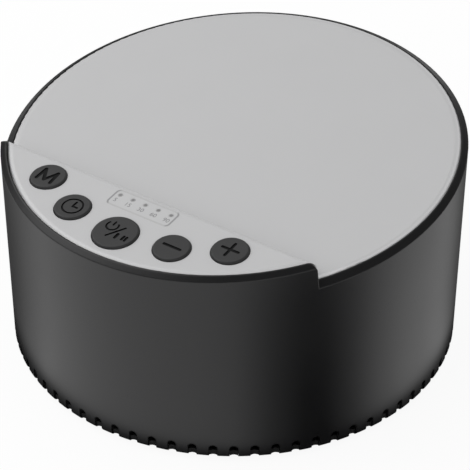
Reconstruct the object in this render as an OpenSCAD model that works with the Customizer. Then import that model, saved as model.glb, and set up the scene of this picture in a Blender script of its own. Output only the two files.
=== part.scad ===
// White noise sound machine. A black round shell, cut at a slant, holds a light grey top with
// a raised control deck and five keys. A loudspeaker inside fires down, and the sound leaves
// through a ring of notches round the lower edge.
// The origin is on the table under the body axis, +Z is up and the control deck faces -Y.
// The "top frame" is the frame of the slanted top: its origin is where the body axis meets
// the top disc, its y runs up the slope to the rear and its z stands square to the disc.

/* [Body] */
// Outer diameter of the round body
body_d = 100; // [98:1:110]
// Height of the top disc above the table, on the body axis
panel_height = 47.4; // [47:0.2:60]
// Angle by which the top falls to the front
tilt = 7; // [5:0.5:8]
// Wall of the outer shell
wall_t = 2.2; // [2:0.1:2.6]
// Width of the shell's rim round the top panel
rim_w = 1.5; // [1.3:0.1:2]
// Flat land on the rim before its bevel starts
rim_land = 0.15; // [0.1:0.05:0.3]
// Drop of the rim's bevel over its width, as a ratio
bevel_slope = 0.6; // [0.4:0.05:1]
// Height of the lip round the front of the control deck, above the deck
lip_proud = 0.3; // [0.1:0.05:0.4]
// Thickness of the ledge inside the shell that the top panel rests on
ledge_t = 2; // [1.6:0.1:2.5]
// Width of that ledge
ledge_w = 3; // [2.5:0.1:4]

/* [Lower edge] */
// Height of the shell's lower edge above the table
foot_stand = 1; // [0.6:0.1:1.5]
// Radius of the rounded lower edge
edge_r = 1.25; // [0.8:0.05:1.25]
// Wall left outside the base plate at the lower edge
skirt_t = 1.3; // [1.3:0.05:1.6]
// Number of sound notches round the lower edge
notch_count = 72; // [48:4:84]
// Width of one sound notch
notch_w = 1.8; // [1.2:0.1:2]
// Height of a notch above the shell's lower edge
notch_h = 3.4; // [3:0.1:5]

/* [Top panel] */
// Thickness of the top disc
panel_t = 2; // [1.8:0.1:2.4]
// Clearance between the panel's edge and the shell
panel_gap = 0.05; // [0.05:0.05:0.2]
// Distance of the panel's centre behind the body axis
panel_back = 0.15; // [0.05:0.05:0.2]
// Radius of the panel's rounded edge
panel_edge_r = 0.35; // [0.3:0.05:0.8]
// Height of the ribs under the disc
panel_rib_h = 2.5; // [1.5:0.1:3]
// Radius of the ring rib under the disc
panel_rib_r = 26; // [20:0.5:28]

/* [Control deck] */
// Height of the deck above the disc
deck_rise = 4.6; // [4.4:0.1:5.5]
// Depth of the deck, from the body's front to the deck's upright step
deck_depth = 22; // [21.7:0.1:22.5]
// Radius along the top of the step
deck_edge_r = 1.5; // [1:0.1:1.8]
// Radius along the deck's round outer edge
deck_round_r = 1.2; // [0.8:0.1:1.4]
// Thickness of the deck's plate
deck_t = 1.8; // [1.5:0.1:2]
// Thickness of the step and of the deck's outer wall
step_t = 1.2; // [1:0.1:1.3]

/* [Buttons] */
// Diameter of the small buttons
button_d = 7.8; // [7:0.1:8]
// Diameter of the power button
power_d = 9.7; // [9:0.1:10]
// Gap round each button
button_gap = 0.15; // [0.1:0.05:0.2]
// Height of a button's top above the deck
button_proud = 0.5; // [0.4:0.05:0.8]
// Distance of the buttons' centres from the body's edge, along the deck
button_inset = 8.8; // [8.6:0.1:9]
// Angle from the power button to its neighbours
power_pitch = 17.8; // [17.5:0.1:19]
// Angle between two small buttons
button_pitch = 16.4; // [16:0.1:17]
// Overhang of a button's flange under the deck
flange_w = 0.6; // [0.4:0.05:0.6]
// Thickness of a button's flange
flange_t = 0.8; // [0.6:0.1:1]
// Play between the flange and the deck
flange_play = 0.1; // [0.05:0.05:0.2]
// Wall of a button's cap
cap_wall = 1; // [0.8:0.1:1.2]
// Diameter of a button's stem
stem_d = 3; // [2.6:0.1:3.2]
// Travel of a button when it is pressed
travel = 0.5; // [0.3:0.05:0.5]

/* [Indicators] */
// Number of indicator windows
led_count = 5; // [3:1:5]
// Distance between two windows
led_pitch = 3.24; // [2.8:0.02:3.3]
// Distance of the row of windows from the deck's step
led_inset = 3.05; // [2.9:0.05:3.4]
// Diameter of one window
window_d = 1; // [0.8:0.05:1.2]
// Gap round a window's pin
window_gap = 0.05; // [0.02:0.01:0.1]
// Thickness of the light pipe's bar
pipe_t = 1.2; // [1:0.1:1.6]
// Width of the light pipe's bar
pipe_w = 2.4; // [2:0.1:2.6]

/* [Key board] */
// Space between the top disc and the key board
key_board_drop = 1.2; // [1:0.1:1.6]
// Thickness of both circuit boards
board_t = 1.6; // [1.2:0.1:1.8]
// Gap between the key board and the ledge
key_board_gap = 0.3; // [0.2:0.05:0.6]
// Depth of the key board behind the deck's step
key_board_tail = 7.5; // [6.5:0.1:8]
// Margin of the key board outside its outer screws
key_board_margin = 3; // [2.6:0.1:4]
// Side of a key switch's square housing
switch_w = 4.5; // [4:0.1:4.7]
// Height of a key switch's housing
switch_h = 3; // [2.6:0.1:3.2]
// Diameter of a key switch's plunger
plunger_d = 2.4; // [2:0.1:2.5]
// Running clearance round the plunger
plunger_gap = 0.05; // [0.02:0.01:0.08]

/* [Speaker] */
// Diameter of the speaker's flange
speaker_d = 52; // [50:0.5:53]
// Width of the speaker's flange and of the gasket under it
flange_ring_w = 3; // [2.8:0.1:3.5]
// Width of the surround, from the flange to the cone's edge
surround_w = 3.7; // [3.5:0.1:5]
// Depth of the cone
cone_h = 6; // [5:0.1:6.4]
// Thickness of the cone and its surround
cone_t = 0.4; // [0.3:0.05:0.6]
// Travel of the cone each way from rest
cone_travel = 0.8; // [0.4:0.1:0.9]
// Diameter of the voice coil's former
coil_d = 13; // [12:0.2:13.4]
// Diameter of the magnet
magnet_d = 32; // [28:0.5:34]
// Thickness of the magnet
magnet_t = 7; // [6:0.1:8]
// Thickness of the steel plates before and behind the magnet
pole_plate_t = 2; // [1.6:0.1:2.2]

/* [Baffle and base] */
// Thickness of the base plate
base_t = 1.5; // [1.5:0.1:1.8]
// Height of the sound space between base plate and baffle
plenum_h = 8.5; // [8:0.1:10]
// Thickness of the baffle plate
baffle_t = 2; // [1.6:0.1:2.4]
// Clearance round base plate and baffle plate
plate_gap = 0.1; // [0.05:0.05:0.3]
// Distance of the base screws from the inside of the shell
screw_inset = 5.6; // [5.3:0.1:6]
// Angle of the base screws from the body's left and right
screw_angle = 31.4; // [30:0.2:33]
// Diameter of the base screws
screw_d = 3; // [2.5:0.1:3.2]
// Diameter of a rubber foot
foot_d = 10; // [8:0.5:11]
// Depth that a foot sits in the base plate
foot_inset = 0.5; // [0.3:0.1:0.7]
// Distance of the feet's centres from the body's edge
foot_margin = 9; // [8.5:0.5:12]

/* [Main board] */
// Height of the main board above the baffle plate
main_board_up = 4; // [3.8:0.1:5]
// Distance from the body axis to the main board's front edge
main_board_front = 22; // [21.5:0.5:23]
// Half width of the main board
main_board_half = 30; // [29:0.5:31]
// Width of the power socket's shell
socket_w = 8.94; // [8.9:0.02:9]
// Height of the power socket's shell
socket_h = 3.26; // [3.2:0.02:3.3]
// Length of the power socket's shell
socket_l = 7.35; // [7:0.05:8]
// Clearance between the socket's shell and the wall
socket_gap = 0.3; // [0.2:0.05:0.5]

/* [Hidden] */
$fn = 96;

black = [0.16, 0.16, 0.165];
light_grey = [0.75, 0.75, 0.755];
key_grey = [0.26, 0.26, 0.265];
board_green = [0.07, 0.3, 0.16];
steel = [0.62, 0.63, 0.65];

body_r = body_d / 2;
inner_r = body_r - wall_t;
recess_r = body_r - rim_w;
panel_r = recess_r - panel_gap;
lip_top = deck_rise + lip_proud;
tall = panel_height + body_r;
deck_edge = body_r - deck_depth;
button_ring = body_r - button_inset;
led_row = deck_edge + led_inset;
key_board_rear = deck_edge - key_board_tail;
eps = 0.01;

// Heights above the table
base_top = foot_stand + base_t;
baffle_z = base_top + plenum_h;
baffle_top = baffle_z + baffle_t;
base_r = body_r - skirt_t - plate_gap;
notch_top = foot_stand + notch_h;

// Levels in the top frame
key_clear = 0.3;
ledge_z = -panel_t;
deck_under = deck_rise - deck_t;
key_board_top = -panel_t - key_board_drop;
key_board_under = key_board_top - board_t;
plunger_top = key_board_top + switch_h + travel + key_clear;
flange_top = deck_under - flange_play;
flange_z = flange_top - flange_t;

// Each button's angle from the front, to the right seen from the front
BUTTONS = [
  ["mode", -power_pitch - button_pitch, button_d],
  ["timer", -power_pitch, button_d],
  ["power", 0, power_d],
  ["minus", power_pitch, button_d],
  ["plus", power_pitch + button_pitch, button_d]
];

// The screw bosses of the top panel stand on ears of the ledge
ear_r = 3.6;
ear_t = 2;
ear_drop = 3;
EARS = [45, 135, 192, 348];
panel_boss_r = 2.6;
ear_ring = inner_r - ledge_w - panel_boss_r - 0.4;
ear_low = ledge_z - ear_drop - ear_t;
small_screw_r = 1;
small_hole_r = small_screw_r + 0.03;
panel_head_r = 2;
panel_head_h = 1.4;
board_head_r = 1.9;
key_head_h = 1.2;
board_screw_len = 5;
short_screw_len = 3.4;
speaker_head_r = 3;
speaker_screw_len = 3;
screw_end_gap = 0.4;
recess_w = 0.6;
recess_depth = 0.6;

// The key board hangs on two tall bosses under the deck and two short ones under the disc
tall_boss_angle = power_pitch + button_pitch / 2;
tall_boss_ring = button_ring - 5.2;
short_boss_angle = power_pitch + button_pitch + 17.1;
short_boss_ring = button_ring - 2.8;
key_board_w = 2 * (short_boss_ring * sin(short_boss_angle) + key_board_margin);
key_boss_r = 2.1;
key_board_r = inner_r - ledge_w - key_board_gap;
led_size = [1.6, 0.8, 0.7];
pipe_leg_r = 0.8;
pipe_leg_gap = 0.2;
plunger_foot = key_board_top + 1.4;
switch_hole_z = plunger_foot - travel - key_clear;

// Shell bosses and base posts for the base screws
shell_boss_r = 3.5;
shell_boss_h = 15;
post_r = 4;
screw_ring = inner_r - screw_inset;
screw_x = screw_ring * cos(screw_angle);
screw_y = screw_ring * sin(screw_angle);
foot_ring = body_r - foot_margin;
screw_r = screw_d / 2;
screw_play = 0.05;
head_r = screw_r + 1.25;
head_h = 2;
head_seat = base_top + 1.5;
screw_len = 20;

// Main board and socket
main_board_z = baffle_top + main_board_up;
main_board_top = main_board_z + board_t;
main_board_r = inner_r - 2.3;
main_post_r = 2.5;
main_post_angle = [39.1, 18.9];
main_post_ring = [main_board_r - 4.3, main_board_r - 2.2];
socket_end = inner_r + 0.8;
socket_z = main_board_top + socket_h / 2;

tongue = [6.7, 0.7];
tongue_back = 0.8;
socket_wall = 0.3;

// Chips: body, and place on the main board from its front edge; size of one lead and their pitch
sound_chip = [10.2, 3.9, 1.6];
sound_chip_x = 5;
sound_chip_y = 7;
amplifier = [5, 3.9, 1.6];
amplifier_x = -8.5;
amplifier_y = 4.5;
pin_size = [0.4, 1, 0.3];
pin_pitch = 1.27;

// Capacitors: place across the board, place from its front edge, diameter and height of the can
big_can_d = 8;
big_can_h = 10;
small_can_d = 6.3;
small_can_h = 7.7;
can_row = 12.5;
side_can_row = 9.5;
side_can_gap = 0.2;
big_can_gap = 1.05;
lone_can_x = 14.5;
can_foot_w = 0.2;
can_foot_h = 0.9;

// Ribbon between the boards and the lead of the speaker
ribbon_x = short_boss_ring * sin(short_boss_angle) - 8.5;
ribbon_w = 6;
ribbon_t = 0.2;
ribbon_bend = 22;
ribbon_steps = 24;
ribbon_socket = [8, 4, 1.8];
ribbon_socket_y = key_board_rear + 3.5;
strip = [2.6, 6, 0.8];
strip_edge = 0.3;
tab = [0.5, 1.2];
tab_h = 2.4;
lead_x = strip[0] / 2 + strip_edge - speaker_d / 2;
lead_half = 1.5;
lead_d = 1.1;
lead_socket_y = main_board_front + 3.7;
lead_socket_size = [4.5, 7, 5];
side_can_x = lead_x + lead_socket_size[0] / 2 + side_can_gap + can_foot_w + small_can_d / 2;
big_can_x = side_can_x + small_can_d / 2 + 2 * can_foot_w + big_can_gap + big_can_d / 2;
CANS = [
  [big_can_x, can_row, big_can_d, big_can_h],
  [side_can_x, side_can_row, small_can_d, small_can_h],
  [lone_can_x, can_row, small_can_d, small_can_h]
];

// Speaker, from the baffle up
speaker_r = speaker_d / 2;
throat_r = speaker_r - flange_ring_w;
gasket_t = 0.8;
flange_metal = 0.8;
speaker_z = baffle_top + gasket_t;
cone_r = throat_r - surround_w;
cone_edge_z = speaker_z;
cone_neck_z = cone_edge_z + cone_h;
spider_z = cone_neck_z + cone_t + cone_travel + 0.4;
basket_top = spider_z + 2.6;
coil_r = coil_d / 2;
former_t = 0.25;
pole_r = coil_r - 0.6;
gap_r = coil_r + 0.8;
plate_r = magnet_d / 2 - 2;
magnet_r = magnet_d / 2;
magnet_z = basket_top + pole_plate_t;
back_z = magnet_z + magnet_t;
shelf_r = 13.6;
spider_seat_w = 2.8;
spider_waves = 8;
wave_h = 0.5;
spider_up = 0.2;
spider_down = 0.1;
spider_rim_w = 1.8;
coil_t = 0.4;
coil_end = 0.3;
coil_dip = 1.2;
window_w = 13;
window_low = 1.8;
window_high = 1.6;
cap_ball_r = 14;
cap_t = 0.3;
cap_rim_w = 1.1;
speaker_screw_ring = speaker_r + 2.5;
speaker_boss_r = 2;
terminal_top = speaker_z + flange_metal + strip[2] + tab_h;

// Small features
seat_gap = 0.02;
rib_t = 1.2;
button_edge_r = 0.3;
key_rib_w = 0.8;
key_rib_t = 0.55;
key_rib_low = 0.3;
key_rib_play = 0.2;
key_notch = 0.05;
switch_foot = [1.2, 0.7, 0.3];
switch_foot_in = 0.8;
spreader_r = 15;
spreader_tip = 3;
spreader_h = 5;
base_rib_h = 1.8;
baffle_rib_h = 1.6;
foot_edge = 0.3;

// Moves its children into the top frame
module in_top() {
  translate([0, 0, panel_height]) rotate([tilt, 0, 0]) children();
}

// Places its children at a button, in the top frame
module at_button(angle) {
  rotate([0, 0, angle]) translate([0, -button_ring, 0]) children();
}

// A cylinder between two heights
module rod(r, low, high) {
  translate([0, 0, low]) cylinder(r = r, h = high - low);
}

// A ring between two heights
module ring(outer, inner, low, high) {
  difference() {
    rod(outer, low, high);
    rod(inner, low - 1, high + 1);
  }
}

// Copies its children to the four base screws
module at_base_screws() {
  for (x = [-screw_x, screw_x], y = [-screw_y, screw_y]) translate([x, y, 0]) children();
}

// Copies its children to the main board's four posts
module at_main_posts() {
  for (i = [0, 1], side = [-1, 1]) rotate([0, 0, side * main_post_angle[i]])
    translate([0, main_post_ring[i], 0]) children();
}

// Copies its children to the key board's screws, given the height of the face they hang from
module at_tall_bosses() {
  for (side = [-1, 1]) rotate([0, 0, side * tall_boss_angle]) translate([0, -tall_boss_ring, 0])
    children();
}
module at_short_bosses() {
  for (side = [-1, 1]) rotate([0, 0, side * short_boss_angle]) translate([0, -short_boss_ring, 0])
    children();
}

// Side view of everything in front of the step, up to a given height, with the rounded edge
module step_side(edge, round_r, top, bottom) {
  union() {
    translate([-body_d, bottom]) square([body_d - edge, top - round_r - bottom]);
    translate([-body_d, bottom]) square([body_d - edge - round_r, top - bottom]);
    translate([-edge - round_r, top - round_r]) circle(round_r);
  }
}

// The same as a block across the body, in the top frame
module step_block(edge, round_r, top, bottom) {
  rotate([90, 0, 90]) translate([0, 0, -body_d]) linear_extrude(2 * body_d)
    step_side(edge, round_r, top, bottom);
}

// All that lies under the bevelled rim, up to a given level of the top frame
module under_rim(level) {
  start = recess_r + rim_land;
  far = body_d;
  rotate_extrude() polygon([
    [0, -body_d], [far, -body_d], [far, level - (far - start) * bevel_slope], [start, level], [0, level]
  ]);
}

// The round body with its rounded lower edge, before the top is cut
module body_blank() {
  rotate_extrude() union() {
    translate([0, foot_stand + edge_r]) square([body_r, tall]);
    translate([0, foot_stand]) square([body_r - edge_r, tall]);
    translate([body_r - edge_r, foot_stand + edge_r]) circle(edge_r);
  }
}

// One sound notch, cut through the wall at the front
module notch() {
  cut_from = -body_r - 1;
  cut_to = wall_t + 3;
  translate([0, cut_from, notch_top - notch_w / 2]) rotate([-90, 0, 0])
    cylinder(d = notch_w, h = cut_to, $fn = 24);
  translate([-notch_w / 2, cut_from, 0]) cube([notch_w, cut_to, notch_top - notch_w / 2]);
}

// An opening with round ends through the rear wall, for the power socket
module socket_slot(grow, from, depth) {
  w = socket_w + 2 * grow;
  h = socket_h + 2 * grow;
  translate([0, from, socket_z]) rotate([-90, 0, 0]) linear_extrude(depth) obround(w, h);
}

// Black moulded shell: wall, slanted rim with the raised lip, ledge, screw bosses and notches
module outer_shell() {
  color(black) difference() {
    union() {
      difference() {
        intersection() {
          body_blank();
          in_top() union() {
            under_rim(0);
            intersection() {
              under_rim(lip_top);
              step_block(deck_edge, deck_edge_r, lip_top, -deck_rise);
            }
          }
        }
        // The hollow below the ledge
        intersection() {
          rod(inner_r, -1, tall);
          in_top() rod(body_d, -body_d, ledge_z - ledge_t);
        }
        // The seat of the base plate
        rod(body_r - skirt_t, -1, base_top);
        // The recess of the top panel and the opening inside the ledge
        in_top() translate([0, panel_back, 0]) rod(recess_r, ledge_z, body_r);
        in_top() rod(inner_r - ledge_w, -body_r / 2, 0);
      }
      shell_bosses();
      ledge_ears();
    }
    // Sound notches
    for (i = [0 : notch_count - 1]) rotate([0, 0, i * 360 / notch_count]) notch();
    // Opening and finger recess of the power socket
    socket_slot(socket_gap, inner_r - 1, wall_t + 2);
    socket_slot(socket_gap + 1.5, body_r - 1.1, 2);
    // Holes of the base screws and of the panel screws
    at_base_screws() rod(screw_r + screw_play, baffle_top - 1, baffle_top + shell_boss_h - 2);
    in_top() for (a = EARS) rotate([0, 0, a]) translate([ear_ring, 0, 0])
      rod(small_hole_r, ledge_z - ear_drop - ear_t - 1, ledge_z);
  }
}

// Columns on the inside of the shell that take the base screws
module shell_bosses() {
  intersection() {
    rod(inner_r + wall_t / 2, baffle_top, baffle_top + shell_boss_h);
    union() {
      at_base_screws() rod(shell_boss_r, baffle_top, baffle_top + shell_boss_h);
      for (side = [-1, 1], turn = [0, 180]) rotate([0, 0, turn + side * screw_angle])
        translate([screw_ring, -1, baffle_top]) cube([body_r - screw_ring, 2, shell_boss_h]);
    }
  }
}

// Ears under the ledge that take the panel screws
module ledge_ears() {
  intersection() {
    rod(inner_r + wall_t / 2, 0, tall);
    in_top() for (a = EARS) rotate([0, 0, a]) {
      translate([ear_ring, 0, 0]) rod(ear_r, ear_low, ear_low + ear_t);
      translate([ear_ring, -ear_r, ear_low]) cube([body_r - ear_ring, 2 * ear_r, ear_t]);
    }
  }
}

// Round plate from the panel's underside up to a given level, with a rounded upper edge
module panel_plate(high, round_r) {
  translate([0, panel_back, 0]) rotate_extrude() union() {
    translate([0, -panel_t]) square([panel_r, high - round_r + panel_t]);
    translate([0, -panel_t]) square([panel_r - round_r, high + panel_t]);
    translate([panel_r - round_r, high - round_r]) circle(round_r);
  }
}

// Light grey top: disc, raised deck with its button and window holes, ribs and bosses
module top_panel() {
  color(light_grey) in_top() difference() {
    union() {
      difference() {
        union() {
          panel_plate(0, panel_edge_r);
          intersection() {
            panel_plate(deck_rise, deck_round_r);
            step_block(deck_edge, deck_edge_r, deck_rise, -2 * panel_t);
          }
        }
        // The hollow under the deck
        intersection() {
          rod(panel_r - step_t, -panel_t - 1, deck_under);
          translate([-body_d, -2 * body_d - deck_edge - step_t, -panel_t - 1])
            cube([2 * body_d, 2 * body_d, deck_rise + panel_t]);
        }
      }
      at_tall_bosses() rod(key_boss_r, key_board_top + seat_gap, deck_under + eps);
      at_short_bosses() rod(key_boss_r, key_board_top + seat_gap, -panel_t + eps);
      for (a = EARS) rotate([0, 0, a]) translate([ear_ring, 0, 0])
        rod(panel_boss_r, ledge_z - ear_drop, -panel_t + eps);
      panel_ribs();
      for (b = BUTTONS) at_button(b[1]) key_rib(b[2]);
    }
    for (b = BUTTONS) at_button(b[1]) rod(b[2] / 2 + button_gap, 0, deck_rise + 1);
    for (i = [0 : led_count - 1]) translate([led_x(i), -led_row, 0])
      rod(window_d / 2 + window_gap, 0, deck_rise + 1);
    at_tall_bosses() rod(small_hole_r, key_board_top - 1, 1);
    at_short_bosses() rod(small_hole_r, key_board_top - 1, -panel_t / 2);
    for (a = EARS) rotate([0, 0, a]) translate([ear_ring, 0, 0])
      rod(small_hole_r, ledge_z - ear_drop - 1, -panel_t / 2);
  }
}

// Place of an indicator along its row
function led_x(i) = (i - (led_count - 1) / 2) * led_pitch;

// Rib beside a button that enters the notch of its flange and keeps it from turning
module key_rib(d) {
  outside = d / 2 + flange_w + key_rib_t - key_rib_play;
  translate([-key_rib_w / 2, -outside, flange_z - key_rib_low])
    cube([key_rib_w, key_rib_t, deck_under - flange_z + key_rib_low + eps]);
}

// Stiffening ribs under the disc, behind the key board
module panel_ribs() {
  low = -panel_t - panel_rib_h;
  front = 1 - key_board_rear;
  intersection() {
    union() {
      ring(panel_rib_r + rib_t / 2, panel_rib_r - rib_t / 2, low, -panel_t + eps);
      for (a = [0 : 60 : 300]) rotate([0, 0, a + 30]) translate([0, -rib_t / 2, low])
        cube([panel_rib_r, rib_t, panel_rib_h + eps]);
    }
    translate([-body_r, front, low - 1]) cube([body_d, body_d, panel_rib_h + 2]);
  }
}

// A button: hollow cap with a keyed flange, and a stem that reaches its switch
module button(i) {
  r = BUTTONS[i][2] / 2;
  top = deck_rise + button_proud;
  color(key_grey) in_top() at_button(BUTTONS[i][1]) difference() {
    rotate_extrude() difference() {
      union() {
        translate([0, flange_z]) square([r, top - button_edge_r - flange_z]);
        translate([0, flange_z]) square([r - button_edge_r, top - flange_z]);
        translate([r - button_edge_r, top - button_edge_r]) circle(button_edge_r);
        translate([0, flange_z]) square([r + flange_w, flange_t]);
        translate([0, plunger_top]) square([stem_d / 2, flange_z - plunger_top + eps]);
      }
      translate([stem_d / 2, flange_z - 1])
        square([r - cap_wall - stem_d / 2, top - cap_wall - flange_z + 1]);
    }
    // Notch of the flange for the rib of the deck
    translate([-key_rib_w / 2 - key_rib_play, -r - flange_w - 1, flange_z - 1])
      cube([key_rib_w + 2 * key_rib_play, flange_w + 1 - key_notch, flange_t + 2]);
  }
}

module button_mode() { button(0); }
module button_timer() { button(1); }
module button_power() { button(2); }
module button_minus() { button(3); }
module button_plus() { button(4); }

// The part of a key switch that its button presses
module plunger(i) {
  color("dimgray") in_top() at_button(BUTTONS[i][1])
    rod(plunger_d / 2, plunger_foot, plunger_top);
}

module plunger_mode() { plunger(0); }
module plunger_timer() { plunger(1); }
module plunger_power() { plunger(2); }
module plunger_minus() { plunger(3); }
module plunger_plus() { plunger(4); }

// Square housings of the key switches, each with a round hole for its plunger and four leads
module switch_housings() {
  half = switch_w / 2;
  color("silver") in_top() for (b = BUTTONS) at_button(b[1]) difference() {
    union() {
      translate([-half, -half, key_board_top]) cube([switch_w, switch_w, switch_h]);
      for (x = [-half, half], y = [switch_foot_in - half, half - switch_foot_in])
        translate([x - switch_foot[0] / 2, y - switch_foot[1] / 2, key_board_top]) cube(switch_foot);
    }
    rod(plunger_d / 2 + plunger_gap, switch_hole_z, key_board_top + switch_h + 1);
  }
}

// Circuit board under the deck, a segment of a disc
module key_board() {
  color(board_green) in_top() difference() {
    intersection() {
      rod(key_board_r, key_board_under, key_board_top);
      translate([-key_board_w / 2, -body_r, key_board_under - 1])
        cube([key_board_w, body_r - key_board_rear, board_t + 2]);
    }
    at_tall_bosses() rod(small_hole_r, key_board_under - 1, key_board_top + 1);
    at_short_bosses() rod(small_hole_r, key_board_under - 1, key_board_top + 1);
  }
}

// Clear bar under the deck, with a pin in each window and a leg over each indicator
module light_pipe() {
  low = key_board_top + led_size[2] + pipe_leg_gap;
  half = led_x(led_count - 1);
  color("white") in_top() translate([0, -led_row, 0]) union() {
    translate([-half, -pipe_w / 2, deck_under - pipe_t]) cube([2 * half, pipe_w, pipe_t]);
    for (x = [-half, half]) translate([x, 0, 0]) rod(pipe_w / 2, deck_under - pipe_t, deck_under);
    for (i = [0 : led_count - 1]) translate([led_x(i), 0, 0]) {
      rod(window_d / 2, deck_under - eps, deck_rise);
      rod(pipe_leg_r, low, deck_under - pipe_t + eps);
    }
  }
}

// Indicator lamps on the key board, one under each leg of the light pipe
module indicator_leds() {
  color("ivory") in_top() for (i = [0 : led_count - 1])
    translate([led_x(i) - led_size[0] / 2, -led_row - led_size[1] / 2, key_board_top]) cube(led_size);
}

// Side view of a point of the top frame, seen from the right of the body
function beside(y, z) = [y * cos(tilt) - z * sin(tilt), panel_height + y * sin(tilt) + z * cos(tilt)];

// The ribbon's middle line: a cubic curve from the key board's socket to the main board's
ribbon_from = beside(-ribbon_socket_y + ribbon_socket[1] / 2, key_board_under - ribbon_socket[2] / 2);
ribbon_to = [main_board_front + 1.5, main_board_top + ribbon_socket[2] / 2];
ribbon_lead_out = [cos(tilt), sin(tilt)] * ribbon_bend;
ribbon_lead_in = [ribbon_bend, 0];
function ribbon_point(t) =
  ribbon_from * pow(1 - t, 3) + (ribbon_from + ribbon_lead_out) * 3 * t * pow(1 - t, 2)
  + (ribbon_to - ribbon_lead_in) * 3 * t * t * (1 - t) + ribbon_to * pow(t, 3);
function ribbon_way(t) =
  let (middle = ribbon_to - ribbon_lead_in - ribbon_from - ribbon_lead_out,
    d = ribbon_lead_out * pow(1 - t, 2) + middle * 2 * t * (1 - t) + ribbon_lead_in * t * t) d / norm(d);
function ribbon_side(t, off) = ribbon_point(t) + off * [-ribbon_way(t)[1], ribbon_way(t)[0]];

// Flat flexible cable between the two circuit boards
module ribbon_cable() {
  steps = [0 : 1 / ribbon_steps : 1];
  outline = concat(
    [for (t = steps) ribbon_side(t, ribbon_t / 2)],
    [for (t = steps) ribbon_side(1 - t, -ribbon_t / 2)]
  );
  color("lightsteelblue") translate([ribbon_x - ribbon_w / 2, 0, 0])
    rotate([90, 0, 90]) linear_extrude(ribbon_w) polygon(outline);
}

// A socket on each circuit board that holds an end of the ribbon
module ribbon_sockets() {
  color("ivory") {
    in_top() translate([ribbon_x - ribbon_socket[0] / 2, -ribbon_socket_y - ribbon_socket[1] / 2,
      key_board_under - ribbon_socket[2]]) cube(ribbon_socket);
    translate([ribbon_x - ribbon_socket[0] / 2, ribbon_to[0], main_board_top]) cube(ribbon_socket);
  }
}

// Circuit board behind the speaker, cut to the round of the shell
module main_board() {
  color(board_green) difference() {
    intersection() {
      rod(main_board_r, main_board_z, main_board_top);
      translate([-main_board_half, main_board_front, main_board_z - 1])
        cube([2 * main_board_half, body_r, board_t + 2]);
    }
    at_main_posts() rod(small_hole_r, main_board_z - 1, main_board_top + 1);
  }
}

// A chip with a row of leads on two sides, standing on the main board
module chip(size, pins) {
  translate([-size[0] / 2, -size[1] / 2, main_board_top + pin_size[2] / 3]) cube(size);
  for (i = [0 : pins - 1])
    translate([(i - (pins - 1) / 2) * pin_pitch, 0, main_board_top + pin_size[2] / 2])
      cube([pin_size[0], size[1] + 2 * pin_size[1], pin_size[2]], center = true);
}

// Sound chip and amplifier chip
module board_chips() {
  color([0.08, 0.08, 0.08]) {
    translate([sound_chip_x, main_board_front + sound_chip_y, 0]) chip(sound_chip, 8);
    translate([amplifier_x, main_board_front + amplifier_y, 0]) chip(amplifier, 4);
  }
}

// A capacitor: aluminium can on a square foot
module capacitor(d, h) {
  side = d + 2 * can_foot_w;
  translate([-side / 2, -side / 2, main_board_top]) cube([side, side, can_foot_h]);
  rod(d / 2, main_board_top + can_foot_h - eps, main_board_top + h);
}

// Smoothing capacitors of the supply and of the amplifier
module capacitors() {
  color("silver") {
    for (c = CANS) translate([c[0], main_board_front + c[1], 0]) capacitor(c[2], c[3]);
  }
}

// Outline with round ends
module obround(w, h) {
  union() {
    square([w - h, h], center = true);
    translate([-(w - h) / 2, 0]) circle(h / 2);
    translate([(w - h) / 2, 0]) circle(h / 2);
  }
}

// Steel shell of the power socket, open to the rear
module power_socket() {
  color(steel) translate([0, socket_end, socket_z]) rotate([90, 0, 0]) union() {
    linear_extrude(socket_l) difference() {
      obround(socket_w, socket_h);
      obround(socket_w - 2 * socket_wall, socket_h - 2 * socket_wall);
    }
    translate([0, 0, socket_l - socket_wall]) linear_extrude(socket_wall) obround(socket_w, socket_h);
  }
}

// Contact tongue inside the power socket
module socket_tongue() {
  long = socket_l - socket_wall - tongue_back;
  color([0.1, 0.1, 0.1]) translate([0, socket_end - socket_l + socket_wall, socket_z])
    translate([-tongue[0] / 2, 0, -tongue[1] / 2]) cube([tongue[0], long, tongue[1]]);
}

// Two wires from the speaker's terminals to their socket on the main board
module speaker_lead() {
  top = main_board_top + lead_socket_size[2];
  color("firebrick") translate([lead_x, 0, 0]) for (side = [-1, 1]) {
    translate([0, side * lead_half, 0]) rod(lead_d / 2, terminal_top, top + eps);
    translate([0, lead_socket_y / 2, top]) rotate([90, 0, 90]) rotate_extrude(angle = 180)
      translate([lead_socket_y / 2 - side * lead_half, 0]) circle(d = lead_d, $fn = 24);
  }
}

// Two-pin socket of the speaker lead
module lead_socket() {
  color("ivory") translate([lead_x, lead_socket_y, main_board_top])
    translate([-lead_socket_size[0] / 2, -lead_socket_size[1] / 2, 0]) cube(lead_socket_size);
}

// Terminal strip on the speaker's flange, with its two tabs
module speaker_terminals() {
  low = speaker_z + flange_metal;
  color("tan") translate([lead_x, 0, low]) union() {
    translate([-strip[0] / 2, -strip[1] / 2, 0]) cube(strip);
    for (side = [-1, 1]) translate([-tab[0] / 2, side * lead_half - tab[1] / 2, strip[2] - eps])
      cube([tab[0], tab[1], tab_h + eps]);
  }
}

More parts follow.
